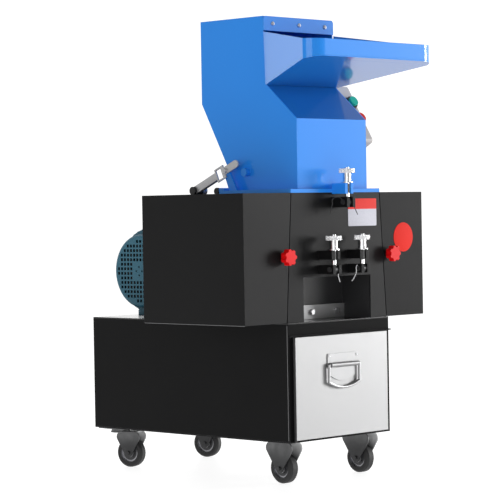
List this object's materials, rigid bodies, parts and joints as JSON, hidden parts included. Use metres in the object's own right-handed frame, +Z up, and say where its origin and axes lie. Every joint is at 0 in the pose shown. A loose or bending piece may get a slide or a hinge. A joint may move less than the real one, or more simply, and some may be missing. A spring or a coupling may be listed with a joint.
{
  "type": "plastic crusher",
  "caption": "Small plastic crusher on casters with a blue feed hopper and tray, side guards, a rear motor and a granule drawer in its black cabinet.",
  "frame": {"origin": "centre of the whole machine's footprint box, on the ground", "axes": "+Z up, +Y from the feed side to the back, +X across to the belt-drive side"},
  "size_m": [0.654, 0.8458, 1.145],
  "materials": {
    "black_coat": "textured powder coat",
    "bare_steel": "bare",
    "bright_plate": "bright plated",
    "zinc_plate": "zinc plated",
    "stainless": "brushed stainless",
    "blue_paint": "gloss",
    "red_plastic": "gloss",
    "green_plastic": "gloss",
    "box_plastic": "satin",
    "motor_paint": "satin",
    "wheel_rubber": "matt"
  },
  "bodies": {
    "machine": {"cabinet_walls": "black_coat", "cabinet_deck": "black_coat", "cabinet_floor": "black_coat", "cabinet_front": "black_coat", "front_plate": "black_coat", "recess_box": "black_coat", "steel_strip": "bare_steel", "chamber": "black_coat", "rotor": "bare_steel", "left_guard": "black_coat", "right_guard": "black_coat", "clamp_ears": "black_coat", "star_knobs": "red_plastic", "hopper_flange": "blue_paint", "hopper_left": "blue_paint", "hopper_right": "blue_paint", "hopper_front": "blue_paint", "hopper_back": "blue_paint", "hopper_roof": "blue_paint", "tray_floor": "blue_paint", "tray_walls": "blue_paint", "hopper_hinge": "black_coat", "switch_box": "box_plastic", "motor": "motor_paint", "fan_cover": "motor_paint", "caster_plates": "zinc_plate", "caster_front_left": "zinc_plate", "caster_front_right": "zinc_plate"},
    "swing_bolt_left": {"swing_bolt_left": "bright_plate"},
    "swing_bolt_right": {"swing_bolt_right": "bright_plate"},
    "swing_bolt_top": {"swing_bolt_top": "bright_plate"},
    "stay": {"stay_lever": "zinc_plate"},
    "green": {"green_button": "green_plastic"},
    "red": {"red_button": "red_plastic"},
    "drawer": {"drawer": "stainless", "drawer_front": "stainless", "handle_plate": "bright_plate"},
    "bail": {"handle_bail": "bright_plate"},
    "caster_left": {"caster_rear_left": "zinc_plate"},
    "caster_right": {"caster_rear_right": "zinc_plate"},
    "wheel_front_left": {"wheel_front_left": "wheel_rubber"},
    "wheel_front_right": {"wheel_front_right": "wheel_rubber"},
    "wheel_rear_left": {"wheel_rear_left": "wheel_rubber"},
    "wheel_rear_right": {"wheel_rear_right": "wheel_rubber"}
  },
  "joints": [
    {"name": "bolt_left_swing", "type": "hinge", "parent": "machine", "child": "swing_bolt_left", "pos_m": [-0.052, -0.3185, 0.52], "axis": [1, 0, 0], "range_deg": [0, 100]},
    {"name": "bolt_right_swing", "type": "hinge", "parent": "machine", "child": "swing_bolt_right", "pos_m": [0.052, -0.3185, 0.52], "axis": [1, 0, 0], "range_deg": [0, 100]},
    {"name": "bolt_top_swing", "type": "hinge", "parent": "machine", "child": "swing_bolt_top", "pos_m": [0, -0.3185, 0.684], "axis": [1, 0, 0], "range_deg": [0, 100]},
    {"name": "stay_lift", "type": "hinge", "parent": "machine", "child": "stay", "pos_m": [-0.151, -0.048, 0.767], "axis": [1, 0, 0], "range_deg": [0, 55]},
    {"name": "green_press", "type": "slide", "parent": "machine", "child": "green", "axis": [0, -0.8572, 0.515], "range_m": [-0.0025, 0], "stiffness_N_per_m": 800},
    {"name": "red_press", "type": "slide", "parent": "machine", "child": "red", "axis": [0, -0.8572, 0.515], "range_m": [-0.0025, 0], "stiffness_N_per_m": 800},
    {"name": "drawer_slide", "type": "slide", "parent": "machine", "child": "drawer", "axis": [0, -1, 0], "range_m": [0, 0.42]},
    {"name": "bail_lift", "type": "hinge", "parent": "drawer", "child": "bail", "pos_m": [0, -0.3, 0.2855], "axis": [-1, 0, 0], "range_deg": [0, 90]},
    {"name": "caster_left_swivel", "type": "hinge", "parent": "machine", "child": "caster_left", "pos_m": [-0.14, 0.369, 0.104], "axis": [0, 0, 1], "continuous": true},
    {"name": "caster_right_swivel", "type": "hinge", "parent": "machine", "child": "caster_right", "pos_m": [0.14, 0.369, 0.104], "axis": [0, 0, 1], "continuous": true},
    {"name": "wheel_front_left_roll", "type": "hinge", "parent": "machine", "child": "wheel_front_left", "pos_m": [-0.14, -0.224, 0.0375], "axis": [1, 0, 0], "continuous": true},
    {"name": "wheel_front_right_roll", "type": "hinge", "parent": "machine", "child": "wheel_front_right", "pos_m": [0.14, -0.224, 0.0375], "axis": [1, 0, 0], "continuous": true},
    {"name": "wheel_rear_left_roll", "type": "hinge", "parent": "caster_left", "child": "wheel_rear_left", "pos_m": [-0.13011, 0.33857, 0.0375], "axis": [0.9511, 0.309, 0], "continuous": true},
    {"name": "wheel_rear_right_roll", "type": "hinge", "parent": "caster_right", "child": "wheel_rear_right", "pos_m": [0.14989, 0.33857, 0.0375], "axis": [0.9511, 0.309, 0], "continuous": true}
  ]
}
